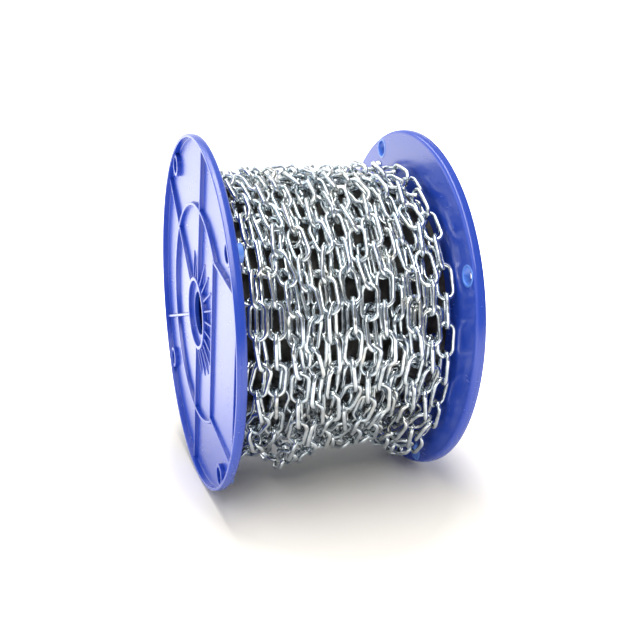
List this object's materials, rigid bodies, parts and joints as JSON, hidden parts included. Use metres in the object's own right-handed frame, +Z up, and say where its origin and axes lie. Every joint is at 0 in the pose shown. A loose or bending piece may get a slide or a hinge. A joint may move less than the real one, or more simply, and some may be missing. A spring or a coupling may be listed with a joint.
{
  "type": "reel of steel chain",
  "caption": "Ribbed plastic reel lying on its two round flanges, wound full with bright zinc-plated welded steel chain.",
  "frame": {"origin": "on the floor under the reel's axis, midway between the two flanges", "axes": "+X along the reel's axis, towards the right flange; +Z up; the reel lies on the rims of both flanges"},
  "size_m": [0.184, 0.2798, 0.2797],
  "materials": {
    "blue_plastic": "glossy moulded plastic",
    "zinc_chain": "bright zinc plating"
  },
  "bodies": {
    "root": {"flange_left": "blue_plastic", "flange_right": "blue_plastic", "barrel": "blue_plastic", "chain_inner_layers": "zinc_chain", "chain_outer_layer": "zinc_chain"}
  },
  "joints": []
}
